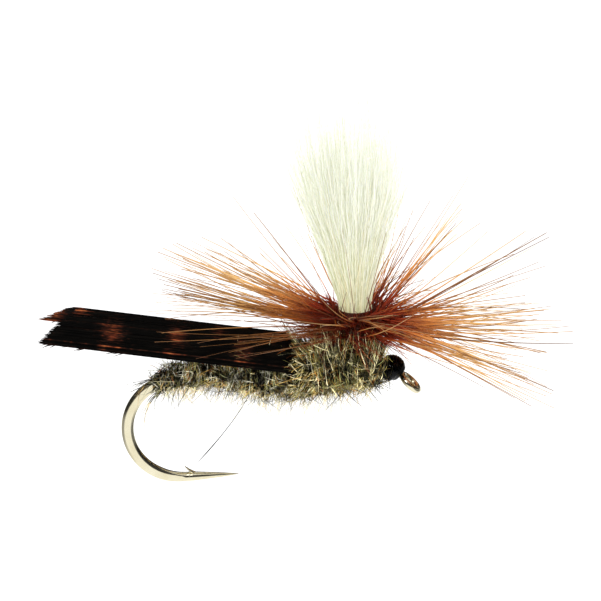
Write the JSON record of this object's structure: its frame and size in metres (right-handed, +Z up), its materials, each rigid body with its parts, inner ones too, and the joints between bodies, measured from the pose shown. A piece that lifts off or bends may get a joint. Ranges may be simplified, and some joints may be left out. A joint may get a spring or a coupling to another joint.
{
  "type": "dry fly",
  "caption": "Parachute dry fly on a barbed down-eye hook: dubbed body, tent wing of quill slips, upright hair post and a flat radial hackle collar.",
  "frame": {"origin": "centre of the hook eye, where the tippet is tied", "axes": "+X along the shank from the bend towards the eye, +Z up the wing post, +Y across the fly"},
  "size_m": [0.0291, 0.0216, 0.0207],
  "materials": {
    "hook_wire": "bright bronze-gold lacquered wire",
    "olive_thread": "waxed tying thread",
    "abdomen_fur": "spun hare fur, grey-olive, fuzzy",
    "thorax_fur": "hare fur with picked-out guard hairs",
    "calf_hair": "fine white hair with a faint yellow-green tint, soft sheen",
    "wing_quill": "near-black quill barbs mottled red-brown, satin",
    "black_thread": "black waxed thread",
    "brown_thread": "dark brown thread",
    "hackle_quill": "dark red-brown feather stem",
    "hackle_barb": "glossy translucent ginger-brown feather barbs",
    "head_varnish": "clear glossy head cement"
  },
  "bodies": {
    "root": {"hook": "hook_wire", "thread_underbody": "olive_thread", "abdomen_dubbing": "abdomen_fur", "thorax_dubbing": "thorax_fur", "wing_post": "calf_hair", "butt_lashing": "olive_thread", "wing_slip_near": "wing_quill", "wing_slip_far": "wing_quill", "wing_tie_down": "black_thread", "post_thread_base": "brown_thread", "hackle_stem": "hackle_quill", "hackle_barbs": "hackle_barb", "thread_head": "black_thread", "head_cement": "head_varnish"}
  },
  "joints": []
}
